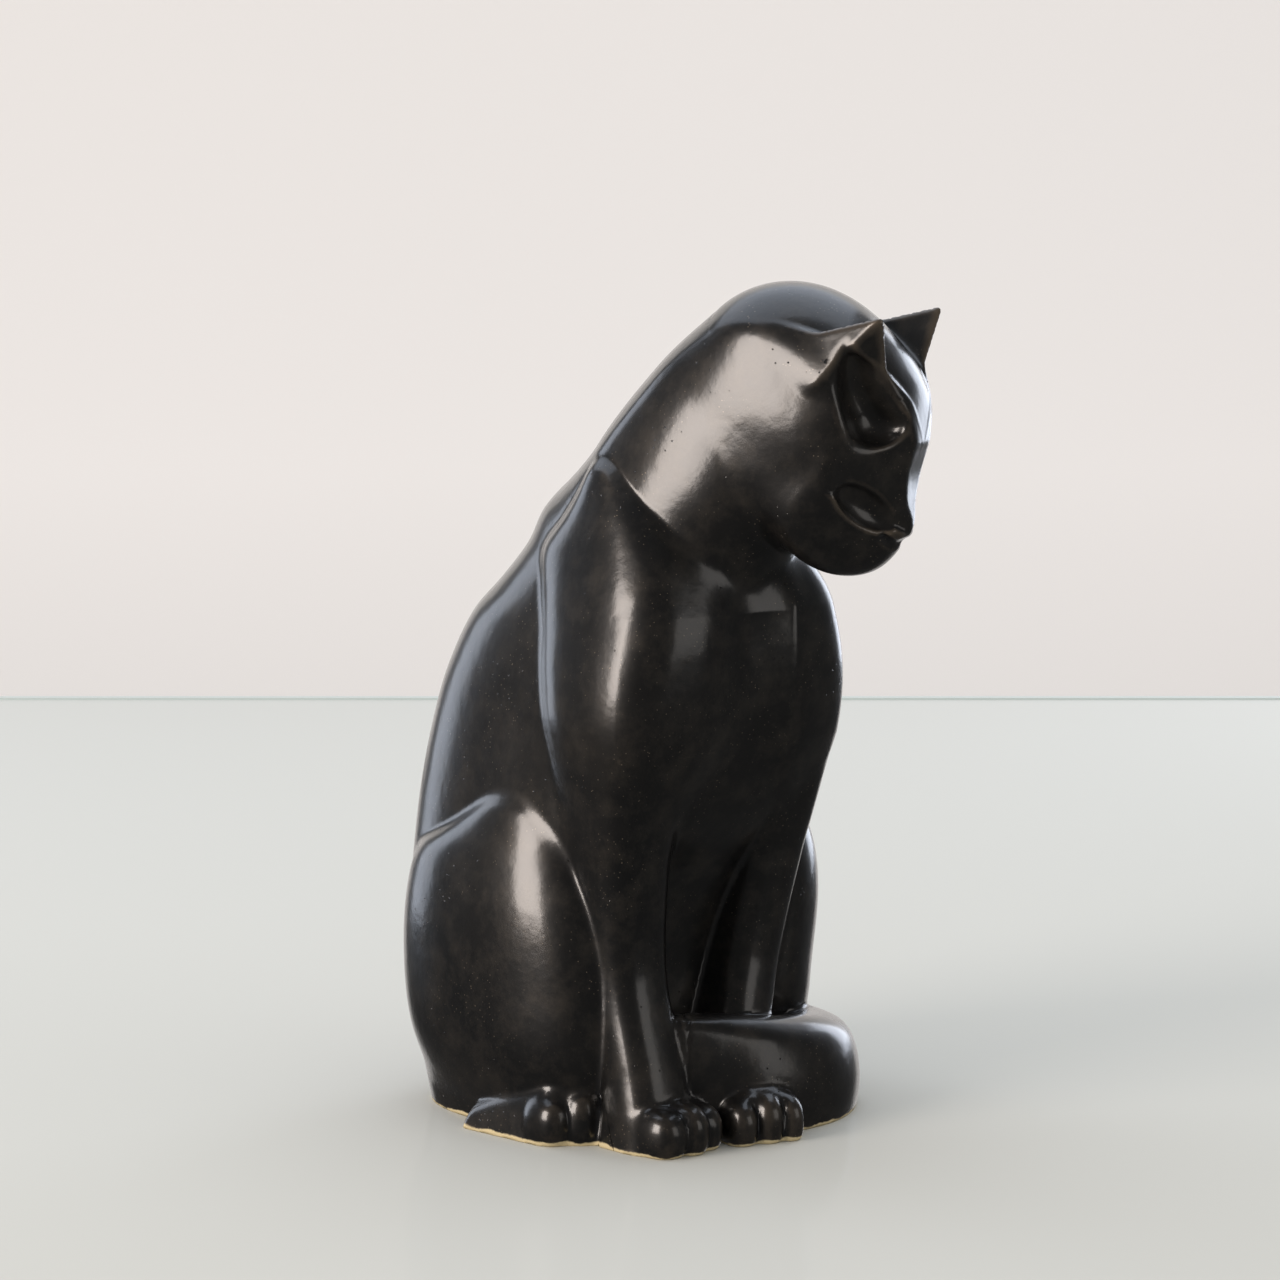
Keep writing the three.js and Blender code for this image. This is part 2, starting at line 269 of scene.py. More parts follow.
def head(p):
    """Neck, skull and muzzle, cut by the face's planes, with the ears added and the recesses taken out."""
    q = head_space(p)
    m = q.copy()                          # the same point on the left half, for what is on both sides
    m[:, 0] = np.sqrt(q[:, 0] ** 2 + 0.05)
    tall = smin(sweep(p, NECK_TALL, 6), ellipsoid(q, [0, 14, 4], [33, 42, 37]), 8)
    wide = smin(sweep(p, NECK_WIDE, 6), ellipsoid(q, [0, 11, -3], [37.6, 40, 37]), 8)
    f = smax(tall, wide, 1.0)
    f = smin(f, pebble(q, [0, -4, -12.5], [30, 34.5, 25.5], 3.0), 5)
    f = smax(f, (m[:, 0] - m[:, 1] - 43.5) / 1.414, 5)
    f = smax(f, (m - CHEEK) @ CHEEK_OUT, 4)
    lid = smin(smin(beyond(m, LID), 9 + m[:, 2], 1), 21 - m[:, 2], 1)
    f = smax(f, lid, 1.5)
    f = smax(f, in_front(q), 1.5)
    f = smin(f, ear(m), 4)
    along = m @ SCOOP_AXES
    hollow = smax(sweep(along, SCOOP, 4), m[:, 2] - SCOOP_TOP, 2.5)
    hollow = smax(hollow, beyond(m, EAR_TOP) + EAR_RIM, 2.5)
    f = smax(f, -hollow, 1.6 + 3 * np.clip(along[:, 2] / 9, 0, 1))
    f = smax(f, -ellipsoid(m, [17.5, -24.6, -7.6], [13, 5.2, 5.8], EYE_AXES), 1.4)
    return smax(f, -sweep(m, MOUTH, 4), 1.8)


LEFT_SHOULDER = [
    [193, 20, -55, 5.5, 17.4, 2.6], [204, 19, -47, -3, 15.6, 2.6], [211, 18.5, -40, -8, 14.6, 2.7],
    [218, 18, -32, -11.5, 13.2, 2.6], [225, 18, -24, -14, 9, 2.5],
]
RIGHT_SHOULDER = [
    [193, 22.5, -55.5, 5.5, 19.2, 2.6], [204, 21, -47, -3, 16.8, 2.6], [211, 20, -40, -8, 15, 2.7],
    [218, 19, -32, -11.5, 13.2, 2.6], [225, 18, -24, -14, 9, 2.5],
]
RIGHT_FORELEG = [                         # mirrored: its x counts to the cat's right
    [-4, 30, -60, -34, 13.5, 2.6], [12, 29.5, -57, -31, 13, 2.6], [26, 29, -53, -27, 12.8, 2.6],
    [56, 29, -45, -17, 13, 2.7], [89, 30.5, -47, -13, 14.6, 2.8], [101, 31, -49.5, -14, 15.8, 2.8],
    [112, 31.3, -52, -14.5, 17, 2.8], [125, 31.6, -56, -13, 18.8, 2.8], [140, 31.3, -60, -8.5, 20.8, 2.7],
    [155, 29.3, -62, -4.5, 22.0, 2.6], [168, 27, -62.5, -1.5, 21.8, 2.6], [180, 24.8, -60.5, 2, 21.2, 2.6],
] + RIGHT_SHOULDER
LEFT_FORELEG = [
    [-4, 9, -50, -24, 13, 2.6], [12, 11, -49, -22, 12.6, 2.6], [26, 14, -47, -20, 12.4, 2.6],
    [38, 18, -45, -18, 12.2, 2.6], [56, 24, -42, -15, 12.4, 2.6], [89, 31, -44.5, -12, 13.2, 2.8],
    [101, 32, -47, -12, 14.4, 3], [112, 32.3, -50, -12, 15.4, 3.2], [125, 31.8, -54, -11, 17, 3.4],
    [140, 30.5, -58, -8, 18.9, 3.5], [155, 28.5, -60.5, -4.5, 20, 3.5], [168, 26, -61, -1.5, 20.1, 3.4],
    [180, 23, -60, 2, 20, 3.2],
] + LEFT_SHOULDER
SHOULDER_TOP = 223


def foreleg(p, side):
    q = p * [side, 1, 1]
    return smax(column(q, LEFT_FORELEG if side > 0 else RIGHT_FORELEG), q[:, 2] - SHOULDER_TOP, 4)


RIGHT_HAUNCH = [
    [-10, -33, -20, 38, 14, 2.4], [0, -33, -28, 46, 18, 2.4], [11, -34, -32, 54, 22, 2.4],
    [28, -35.5, -36, 61, 25.5, 2.4], [51, -36, -36, 64, 26, 2.4], [75, -35.5, -33, 62, 25.8, 2.4],
    [90, -34.5, -28, 55.5, 24.5, 2.4], [100, -34, -25, 39, 22, 2.3], [109, -34, -18, 24, 18.5, 2.2],
    [118, -34, -8, 12, 13, 2.1],
]
HAUNCH_TOP = 114.5


def right_haunch(p):
    return smax(column(p, RIGHT_HAUNCH), p[:, 2] - HAUNCH_TOP, 8)


def left_haunch(p):
    return smin(ellipsoid(p, [41, 14, 45], [31, 49, 55]), ellipsoid(p, [46, 2, 76], [27, 34, 38]), 12)


TAIL = np.array([
    [22, 60, 9, 16, 18, 25], [48, 44, 9, 16, 18, 25], [59, 16, 9, 16.5, 18, 24],
    [58.5, -12, 9, 18, 18, 22.5], [51, -34, 9.5, 18.5, 17.5, 23.5], [35, -47, 11, 18, 17, 25],
    [14, -50, 13, 15, 15, 26], [-3, -47, 17, 13, 12, 25], [-16, -44, 24, 9, 9, 19],
])
TAIL_TALL = TAIL + [0, 0, 0, -1, -1, 2.5]
TAIL_WIDE = TAIL + [0, 0, 0, 2, 2, -1.5]


def tail(p):
    return smax(sweep(p, TAIL_TALL), sweep(p, TAIL_WIDE), 1.2)


def block(p, faces, soft):
    """A chiselled form. Each face is its outward direction and a point on it."""
    f = None
    for out, at in faces:
        d = (p - np.asarray(at, float)) @ (np.asarray(out, float) / np.linalg.norm(out))
        f = d if f is None else smax(f, d, soft)
    return f


HIND_PAW = [
    ((-1, -0.12, 0.15), (-60, -5, 4)), ((-0.45, 0.30, 0.84), (-53, -8, 17)),
    ((-0.35, 0.90, 0.30), (-56, 13, 5)), ((-0.60, -0.79, 0.10), (-52, -28, 5)),
    ((-0.8, 0.05, 0.6), (-58.5, -8, 11)), ((0.3, -0.9, 0.4), (-44, -33, 14)),
    ((1, 0, 0), (-30, 0, 0)), ((-0.50, -0.60, 0.62), (-50, -26, 19)),
]
RIGHT_PAW = [
    ((0, -1, 0.14), (-25, -62.5, 3)), ((-0.62, -0.78, 0.12), (-35.5, -59, 3)),
    ((-1, -0.12, 0.14), (-42, -50, 4)), ((0.9, -0.4, 0.15), (-13.5, -61, 4)),
    ((0, -0.55, 0.84), (-28, -59, 14)), ((-0.55, -0.35, 0.76), (-37, -54, 13)),
    ((0.45, -0.35, 0.82), (-18, -56, 14)), ((0, 1, 0), (0, -36, 0)), ((0, 0, 1), (0, 0, 24)),
]
LEFT_PAW_AT = np.array([5.0, -61.0, 0.0])
LEFT_PAW_AXES = turned(yaw=-15)
LEFT_PAW = [                              # in its own axes
    ((0, -1, 0.10), (0, -7.6, 3)), ((-1, -0.12, 0.10), (-14, 0, 3)), ((1, -0.15, 0.12), (11.8, 0, 3)),
    ((0, -0.50, 0.87), (0, -5, 15.5)), ((-0.6, -0.25, 0.76), (-11, -4, 13.5)),
    ((0.6, -0.20, 0.77), (9, -4, 14.5)), ((0.7, -0.7, 0.1), (9.6, -8, 3)),
    ((0, 1, 0), (0, 22, 0)), ((0, 0, 1), (0, 0, 20)),
]
HIND_TOES = [[-52, -22, 7, 7, 8.5, 8.5], [-44, -27, 8, 7, 8.5, 10]]
RIGHT_TOES = [[-34.5, -56, 6.5, 7.5, 11, 9], [-26, -57.5, 7, 6.2, 11, 9.5], [-18.5, -56.5, 6.5, 6, 10, 8.5]]
LEFT_TOES = [[-9.5, -1.5, 6, 5.6, 10, 8.5], [0, -1.5, 6.5, 5.6, 10, 9.5], [8, -1.5, 6, 5, 9.5, 9]]
TOE_SQUARENESS = 2.5


def toes(p, rows, soft):
    """Toes side by side. Each row is a centre and the three half sizes."""
    f = None
    for row in rows:
        d = pebble(p, row[:3], row[3:], TOE_SQUARENESS)
        f = d if f is None else smin(f, d, soft)
    return f


def right_hind_paw(p):
    return smin(block(p, HIND_PAW, 2.2), toes(p, HIND_TOES, 1.0), 1.5)


def right_forepaw(p):
    return smin(block(p, RIGHT_PAW, 2.6), toes(p, RIGHT_TOES, 0.8), 1.5)


def left_forepaw(p):
    q = (p - LEFT_PAW_AT) @ LEFT_PAW_AXES
    return smin(block(q, LEFT_PAW, 2.0), toes(q, LEFT_TOES, 0.8), 1.5)


def shoulder_fillet(p):
    """The shoulders melt into the chest in front, and stand clear of the flank behind."""
    front = np.clip((-p[:, 1] - 30) / 22, 0, 1)
    chest = np.clip((p[:, 2] - 100) / 30, 0, 1) * np.clip((205 - p[:, 2]) / 30, 0, 1)
    return 2.2 + 15 * (front * chest) ** 1.5


# The limbs in the order in which they are joined, each with its box and the width of its joint's fillet
LIMBS = [
    ("body_shell", boxed(torso, (-54, -62, -5), (54, 74, 240), 20), 0),
    ("head_shell", boxed(head, (-40, -112, 144), (76, 27, 284), 20), 6),
    ("right_foreleg", boxed(lambda p: foreleg(p, -1), (-54, -64, -8), (-3, 9, 226), 20), shoulder_fillet),
    ("left_foreleg", boxed(lambda p: foreleg(p, 1), (-2, -64, -8), (52, 9, 226), 20), shoulder_fillet),
    ("right_haunch", boxed(right_haunch, (-66, -37, -12), (-6, 70, 119), 14), 2.2),
    ("left_haunch", boxed(left_haunch, (9, -36, -12), (74, 64, 115), 14), 4.0),
    ("right_forepaw", boxed(right_forepaw, (-44, -70, -4), (-10, -35, 24)), 2.0),
    ("right_hind_paw", boxed(right_hind_paw, (-62, -38, -4), (-29, 18, 26)), 1.6),
    ("tail", boxed(tail, (-26, -68, -18), (79, 80, 44)), 1.8),
    ("left_forepaw", boxed(left_forepaw, (-13, -77, -4), (24, -36, 19)), 1.6),
]
EARS = [("right_ear", -1), ("left_ear", 1)]
EAR_OUT = np.array([0.6, -0.35, 0.72])    # a direction of the head
EAR_ROOT = 30.0                           # an ear is what stands further out than this
WALL = 7.0                                # thickness of the casting
SLAB = 9.0                                # thickness of the base slab
GAP = 0.3                                 # between the slab and the casting
HOLE = {"y": 30.0, "radius": 18.9, "recess_radius": 23.2, "recess_depth": 4.0}
COLLAR_AT = np.array([0.0, 12.0, 217.0])  # the plane between the torso's piece and the head's
COLLAR_UP = np.array([0.0, -0.457, 0.89])


def slab_room(p, body):
    """The room in the foot that the base slab fills, body being the distance to the torso."""
    return np.maximum(body + WALL, p[:, 2] - SLAB)


def openings(p):
    """The hole through the slab and the recess round it."""
    out = np.hypot(p[:, 0], p[:, 1] - HOLE["y"])
    return out - HOLE["radius"], np.maximum(out - HOLE["recess_radius"], p[:, 2] - HOLE["recess_depth"])


def parts(p):
    """The distance to each limb, to the whole solid cat, and to the hollow inside."""
    own = {}
    whole = None
    for name, shape, fillet in LIMBS:
        own[name] = shape(p)
        width = fillet(p) if callable(fillet) else fillet
        whole = own[name] if whole is None else smin(whole, own[name], width)
    hollow = smax(np.minimum(own["body_shell"], own["head_shell"]) + WALL, SLAB - p[:, 2], 1.0)
    solid = smax(whole, -p[:, 2], 0.6)
    solid = np.maximum(solid, -np.minimum(hollow, slab_room(p, own["body_shell"])))
    skull = own["head_shell"]
    q = head_space(p)
    for name, side in EARS:
        past = np.minimum((q * [side, 1, 1]) @ EAR_OUT - EAR_ROOT, side * q[:, 0] - 4)
        own[name] = skull - 2 * np.clip(past, -8, 8)
    above = (p - COLLAR_AT) @ COLLAR_UP
    own["body_shell"] = np.maximum(own["body_shell"], above)
    own["head_shell"] = np.maximum(skull, -above)
    return own, solid


# ---------------------------------------------------------------- meshing

TETRA = np.array([[1, -1, -1], [-1, -1, 1], [-1, 1, -1], [1, 1, 1]], float)
EDGE_REACH = 1.6                          # how far round a point its edges and creases are felt
POOL = ThreadPoolExecutor(WORKERS)


def in_chunks(f, p, size=40000):
    """f over many points, on several cores. f gives one array."""
    pieces = [p[i:i + size] for i in range(0, len(p), size)] or [p]
    return np.concatenate(list(POOL.map(f, pieces)))


def slope(f, p, step=0.35):
    """The direction and rate in which f grows, from four points round each p."""
    g = np.zeros_like(p)
    for d in TETRA:
        g += d * f(p + d * step)[:, None]
    return g / (4 * step)


def unit(v):
    return v / np.maximum(np.linalg.norm(v, axis=-1, keepdims=True), TINY)


def field_grid(shape, low, high, step, names):
    """The whole form and each limb on a grid. Only a few points far from any surface are worked out."""
    low = np.asarray(low, float)
    cells = np.ceil((np.asarray(high) - low) / (step * COARSE)).astype(int)
    counts = cells * COARSE + 1
    band = step * COARSE * 1.5

    def stacked(p):
        own, solid = shape(p)
        return np.stack([solid] + [own[n] for n in names], 1).astype(np.float32)

    axes = [low[i] + np.arange(cells[i] + 1) * step * COARSE for i in range(3)]
    rough = in_chunks(stacked, np.stack(np.meshgrid(*axes, indexing="ij"), -1).reshape(-1, 3))
    rough = rough.reshape(*(cells + 1), -1)
    nearest = [np.minimum((np.arange(counts[i]) + COARSE // 2) // COARSE, cells[i]) for i in range(3)]
    grid = rough[np.ix_(*nearest)]
    busy = np.abs(grid[..., 0]) < band
    if names:
        ranked = np.sort(grid[..., 1:], axis=-1)
        seam = (ranked[..., 1] - ranked[..., 0]) / 2
        busy |= (grid[..., 0] < 0) & (seam < band)
    grid[busy] = in_chunks(stacked, low + np.argwhere(busy) * step)
    return grid, low


def surface(solid, wall, low, step):
    """Quads where max(solid, wall) changes sign, and for each quad whether it is on the wall."""
    both = np.maximum(solid, wall)
    inside = both < 0
    total = np.zeros([n - 1 for n in both.shape] + [3], np.float32)
    count = np.zeros(total.shape[:3], np.uint8)
    quads, on_wall = [], []
    limit = np.array(count.shape)
    for axis in range(3):
        a, b = [slice(None)] * 3, [slice(None)] * 3
        a[axis], b[axis] = slice(0, -1), slice(1, None)
        a, b = tuple(a), tuple(b)
        crossing = inside[a] != inside[b]
        at = np.argwhere(crossing)
        fa, fb = both[a][crossing], both[b][crossing]
        place = at.astype(np.float32)
        place[:, axis] += fa / (fa - fb)
        first_in = fa < 0

        def reach(field):
            u, v = field[a][crossing], field[b][crossing]
            u, v = np.where(first_in, u, v), np.where(first_in, v, u)
            return np.where(v > 0, -u / np.maximum(v - u, TINY), 2.0)

        walled = reach(wall) < reach(solid)
        others = [k for k in range(3) if k != axis]
        cells = []
        for d in ((-1, -1), (-1, 0), (0, -1), (0, 0)):
            c = at.copy()
            c[:, others[0]] += d[0]
            c[:, others[1]] += d[1]
            cells.append(c)
        ok = np.all([((c >= 0) & (c < limit)).all(1) for c in cells], 0)
        for c in cells:
            key = tuple(c[ok].T)
            np.add.at(total, key, place[ok])
            np.add.at(count, key, 1)
        q = np.stack([cells[0][ok], cells[2][ok], cells[3][ok], cells[1][ok]], 1)
        outward = first_in[ok] if axis == 1 else ~first_in[ok]
        q[outward] = q[outward][:, ::-1]
        quads.append(q)
        on_wall.append(walled[ok])
    index = np.full(count.shape, -1)
    used = tuple(np.argwhere(count > 0).T)
    index[used] = np.arange(len(used[0]))
    points = low + total[used] / count[used][:, None] * step
    quads = np.concatenate(quads)
    return points.astype(float), index[quads[..., 0], quads[..., 1], quads[..., 2]], np.concatenate(on_wall)


def settle(points, kind, solid, wall, step):
    """Moves each point onto the form (kind 1), the wall between limbs (2), or where the two meet (3)."""
    for _ in range(3):
        a = np.zeros_like(points)
        b = np.zeros_like(points)
        fa = np.zeros(len(points))
        fb = np.zeros(len(points))
        outer, inner = (kind & 1) > 0, (kind & 2) > 0
        a[outer] = slope(solid, points[outer])
        fa[outer] = solid(points[outer])
        if inner.any():
            b[inner] = slope(wall, points[inner])
            fb[inner] = wall(points[inner])
        aa = np.maximum((a * a).sum(1), 0.05)
        bb = np.maximum((b * b).sum(1), 0.05)
        ab = (a * b).sum(1)
        det = np.maximum(aa * bb - ab * ab, 0.05 * aa * bb)
        both = kind == 3
        u = np.where(both, (fa * bb - fb * ab) / det, np.where(outer, fa / aa, 0))
        v = np.where(both, (fb * aa - fa * ab) / det, np.where(inner, fb / bb, 0))
        move = u[:, None] * a + v[:, None] * b
        size = np.linalg.norm(move, axis=1, keepdims=True)
        points = points - move * np.minimum(1, 0.8 * step / np.maximum(size, TINY))
    return points


def make_mesh(name, points, quads, corner_normals, edge):
    """A mesh object in metres, with its own smooth normals and an "edge" value at each point."""
    mesh = bpy.data.meshes.new(name)
    mesh.vertices.add(len(points))
    mesh.vertices.foreach_set("co", (points * MM).ravel())
    mesh.loops.add(quads.size)
    mesh.loops.foreach_set("vertex_index", quads.ravel())
    mesh.polygons.add(len(quads))
    mesh.polygons.foreach_set("loop_start", np.arange(len(quads)) * 4)
    mesh.polygons.foreach_set("use_smooth", np.ones(len(quads), bool))
    mesh.update(calc_edges=True)
    mesh.validate()
    layer = mesh.attributes.new("edge", "FLOAT", "POINT")
    layer.data.foreach_set("value", edge.astype(np.float32))
    mesh.normals_split_custom_set(corner_normals.reshape(-1, 3))
    obj = bpy.data.objects.new(name, mesh)
    bpy.context.scene.collection.objects.link(obj)
    return obj


def share(own_name, grid, names):
    """The whole form on a grid, the wall round one limb, and the grid points inside both."""
    mine = names.index(own_name) + 1
    rest = [i + 1 for i, n in enumerate(names) if n != own_name]
    wall = (grid[..., mine] - grid[..., rest].min(-1)) / 2
    return grid[..., 0], wall, np.argwhere(np.maximum(grid[..., 0], wall) < 0)


def carve(name, own_name, grid, names, low, step, shape):
    """One limb as a closed mesh: the form where this limb is the nearest."""
    solid, wall, used = share(own_name, grid, names)
    a, b = np.maximum(used.min(0) - 2, 0), used.max(0) + 3
    box = tuple(slice(i, j) for i, j in zip(a, b))
    points, quads, walled = surface(solid[box], wall[box], low + a * step, step)

    def solid_at(p):
        return in_chunks(lambda q: shape(q)[1], p)

    def wall_one(p):
        own, _ = shape(p)
        return (own[own_name] - np.min([own[n] for n in names if n != own_name], axis=0)) / 2

    def wall_at(p):
        return in_chunks(wall_one, p)

    kind = np.zeros(len(points), int)
    kind[quads[~walled]] |= 1
    kind[quads[walled]] |= 2
    points = settle(points, kind, solid_at, wall_at, step)
    shell, seam = (kind & 1) > 0, (kind & 2) > 0
    on_shell, on_seam = np.zeros_like(points), np.zeros_like(points)
    on_shell[shell] = unit(slope(solid_at, points[shell]))
    if seam.any():
        on_seam[seam] = unit(slope(wall_at, points[seam], 0.6))
    corner = np.where(walled[:, None, None], on_seam[quads], on_shell[quads])
    # The glaze reads this value to paint edges lighter (glaze break and painted highlight) and creases
    # darker (glaze pooling and painted shade).
    edge = np.zeros(len(points))          # above 0 on an edge, below 0 in a crease
    around = [solid_at(points[shell] + d * EDGE_REACH) for d in np.vstack([TETRA, -TETRA]) / np.sqrt(3)]
    edge[shell] = np.mean(around, 0) / EDGE_REACH
    return make_mesh(name, points, quads, corner, edge)


# ---------------------------------------------------------------- materials

def material(name):
    """A new material, its Principled shader and helpers that add nodes to it."""
    mat = bpy.data.materials.new(name)
    mat.use_nodes = True
    tree = mat.node_tree
    shader = next(n for n in tree.nodes if n.type == "BSDF_PRINCIPLED")

    def node(kind, **inputs):
        n = tree.nodes.new(kind)
        for key, value in inputs.items():
            setattr(n, key, value)
        return n

    def wire(value, socket):
        if isinstance(value, bpy.types.NodeSocket):
            tree.links.new(value, socket)
        else:
            socket.default_value = value

    def noise(where, scale, detail=4.0, rough=0.55, distortion=0.0):
        n = node("ShaderNodeTexNoise")
        wire(where, n.inputs["Vector"])
        n.inputs["Scale"].default_value = scale
        n.inputs["Detail"].default_value = detail
        n.inputs["Roughness"].default_value = rough
        n.inputs["Distortion"].default_value = distortion
        return n.outputs["Fac"]

    def spots(where, scale):
        n = node("ShaderNodeTexVoronoi")
        wire(where, n.inputs["Vector"])
        n.inputs["Scale"].default_value = scale
        return n.outputs["Distance"]

    def ramp(value, *stops):
        """value from 0 to 1 to a colour. Each stop is its place and colour."""
        n = node("ShaderNodeValToRGB")
        wire(value, n.inputs["Fac"])
        while len(n.color_ramp.elements) < len(stops):
            n.color_ramp.elements.new(0.5)
        for element, (place, colour) in zip(n.color_ramp.elements, stops):
            element.position = place
            element.color = (*colour, 1)
        return n.outputs["Color"]

    def mix(factor, a, b):
        n = node("ShaderNodeMix", data_type="RGBA")
        wire(factor, n.inputs["Factor"])
        for socket, value in zip((n.inputs[6], n.inputs[7]), (a, b)):
            wire(value if isinstance(value, bpy.types.NodeSocket) else (*value, 1), socket)
        return n.outputs[2]

    def math(operation, a, b=0.0, clamp=False):
        n = node("ShaderNodeMath", operation=operation, use_clamp=clamp)
        wire(a, n.inputs[0])
        wire(b, n.inputs[1])
        return n.outputs[0]

    def span(value, a, b, c=0.0, d=1.0):
        """value carried from a..b to c..d, held at the ends."""
        n = node("ShaderNodeMapRange", clamp=True)
        wire(value, n.inputs["Value"])
        for key, number in zip(("From Min", "From Max", "To Min", "To Max"), (a, b, c, d)):
            n.inputs[key].default_value = number
        return n.outputs["Result"]

    def bump(height, strength, distance, normal=None):
        n = node("ShaderNodeBump")
        wire(height, n.inputs["Height"])
        n.inputs["Strength"].default_value = strength
        n.inputs["Distance"].default_value = distance
        if normal is not None:
            wire(normal, n.inputs["Normal"])
        return n.outputs["Normal"]

    where = node("ShaderNodeTexCoord").outputs["Object"]
    tools = dict(node=node, wire=wire, noise=noise, spots=spots, ramp=ramp, mix=mix, math=math, span=span,
                 bump=bump, where=where)
    return mat, shader, tools


def glaze_material():
    """Black gunmetal glaze: mottled, pitted, bare at the foot; lighter brown on edges (glaze break and
    painted highlight), darker in creases (glaze pooling and painted shade).
    """
    mat, shader, t = material("glaze")
    where, noise, ramp, mix, math, span = (t[k] for k in ("where", "noise", "ramp", "mix", "math", "span"))
    cloud = noise(where, 14.0, 5.0, 0.6, 0.4)
    mottle = noise(where, 95.0, 6.0, 0.7)
    grain = noise(where, 1400.0, 3.0, 0.7)
    speck = t["spots"](where, 620.0)
    edge = t["node"]("ShaderNodeAttribute", attribute_name="edge").outputs["Fac"]
    # Lighter brown along convex edges: partly the glaze breaking over the edge, partly a painted highlight.
    edge_break_and_highlight = span(math("ADD", edge, span(mottle, 0.35, 0.65, -0.02, 0.02)), 0.05, 0.22)
    # Darker in creases: partly glaze pooling there, partly painted shade.
    crease_pool_and_shade = span(edge, -0.05, -0.22)

    colour = ramp(cloud, (0.32, (0.007, 0.0072, 0.0078)), (0.55, (0.013, 0.012, 0.0115)),
                  (0.75, (0.024, 0.0205, 0.017)))
    colour = mix(span(mottle, 0.45, 0.72, 0.0, 0.6), colour, (0.045, 0.037, 0.029))
    flecks = math("MULTIPLY", span(speck, 0.16, 0.06), span(noise(where, 60.0, 3.0), 0.46, 0.62))
    colour = mix(math("MULTIPLY", flecks, 0.8), colour, (0.21, 0.17, 0.125))
    # Painted highlight and glaze break: lighter brown colour on edges.
    colour = mix(math("MULTIPLY", edge_break_and_highlight, 0.7), colour, (0.15, 0.115, 0.082))
    # Painted shade and glaze pooling: darker, bluer colour in creases.
    colour = mix(math("MULTIPLY", crease_pool_and_shade, 0.8), colour, (0.012, 0.013, 0.016))

    height = t["node"]("ShaderNodeSeparateXYZ")
    t["wire"](where, height.inputs[0])
    foot = math("ADD", height.outputs["Z"], span(noise(where, 90.0, 4.0), 0.3, 0.7, -0.0011, 0.0007))
    bare = span(foot, 0.0013, 0.0008)
    colour = mix(bare, colour, (0.56, 0.46, 0.27))

    rough = span(cloud, 0.3, 0.7, 0.17, 0.24)
    rough = math("ADD", rough, span(mottle, 0.35, 0.75, -0.02, 0.06))
    rough = math("ADD", rough, math("MULTIPLY", grain, 0.04))
    rough = math("ADD", rough, math("MULTIPLY", crease_pool_and_shade, -0.05))
    rough = math("ADD", rough, math("MULTIPLY", bare, 0.6), clamp=True)
    t["wire"](colour, shader.inputs["Base Color"])
    glassy = math("SUBTRACT", 1.0, bare)
    t["wire"](math("ADD", rough, 0.16, clamp=True), shader.inputs["Roughness"])
    t["wire"](math("MULTIPLY", glassy, 0.5), shader.inputs["Metallic"])
    t["wire"](glassy, shader.inputs["Coat Weight"])
    shader.inputs["Coat Roughness"].default_value = 0.19
    shader.inputs["Coat IOR"].default_value = 1.6
    pits = t["spots"](where, 330.0)
    few = span(noise(where, 45.0, 3.0), 0.54, 0.66)
    pit = math("MULTIPLY", span(pits, 0.11, 0.03), few)
    n = t["bump"](noise(where, 38.0, 3.0, 0.5), 0.10, 0.004)
    n = t["bump"](noise(where, 320.0, 3.0, 0.6), 0.10, 0.0005, n)
    n = t["bump"](math("MULTIPLY", pit, -1.0), 0.6, 0.0006, n)
    t["wire"](n, shader.inputs["Normal"])
    t["wire"](n, shader.inputs["Coat Normal"])
    return mat


def clay_material():
    """Unglazed fired clay, wiped with a sponge, with iron specks and kiln marks."""
    mat, shader, t = material("bare_clay")
    where, noise, ramp, mix, math, span = (t[k] for k in ("where", "noise", "ramp", "mix", "math", "span"))
    cloud = noise(where, 22.0, 5.0, 0.6)
    colour = ramp(cloud, (0.3, (0.50, 0.41, 0.25)), (0.7, (0.63, 0.54, 0.36)))
    iron = span(t["spots"](where, 420.0), 0.14, 0.05)
    iron = math("MULTIPLY", iron, span(noise(where, 70.0, 2.0), 0.5, 0.62))
    colour = mix(iron, colour, (0.16, 0.085, 0.040))
    colour = mix(span(noise(where, 40.0, 6.0, 0.7, 1.0), 0.60, 0.74, 0.0, 0.5), colour, (0.20, 0.155, 0.10))
    t["wire"](colour, shader.inputs["Base Color"])
    t["wire"](span(noise(where, 160.0), 0.3, 0.7, 0.72, 0.94), shader.inputs["Roughness"])
    n = t["bump"](noise(where, 900.0, 4.0, 0.7), 0.35, 0.0004)
    t["wire"](t["bump"](noise(where, 60.0, 3.0), 0.25, 0.001, n), shader.inputs["Normal"])
    return mat


def rubber_material():
    """Moulded black rubber with a dusty bloom and scuffs."""
    mat, shader, t = material("rubber")
    where, noise, mix, math, span = (t[k] for k in ("where", "noise", "mix", "math", "span"))
    dust = span(noise(where, 55.0, 6.0, 0.7, 0.6), 0.45, 0.75)
    colour = mix(math("MULTIPLY", dust, 0.5), (0.018, 0.018, 0.019), (0.075, 0.070, 0.062))
    t["wire"](colour, shader.inputs["Base Color"])
    t["wire"](math("ADD", 0.52, math("MULTIPLY", dust, 0.25)), shader.inputs["Roughness"])
    t["wire"](t["bump"](noise(where, 1500.0, 3.0), 0.25, 0.0002), shader.inputs["Normal"])
    return mat


# ---------------------------------------------------------------- the pieces

GLAZE = glaze_material()
CLAY = clay_material()
RUBBER = rubber_material()
CAT_LOW, CAT_HIGH = (-72, -122, -6), (86, 86, 292)
RIMMED = ("head_shell", "right_ear", "left_ear")
SPARE = 3                                 # grid steps left free round a limb
NAMES = [name for name, _, _ in LIMBS] + [name for name, _ in EARS]

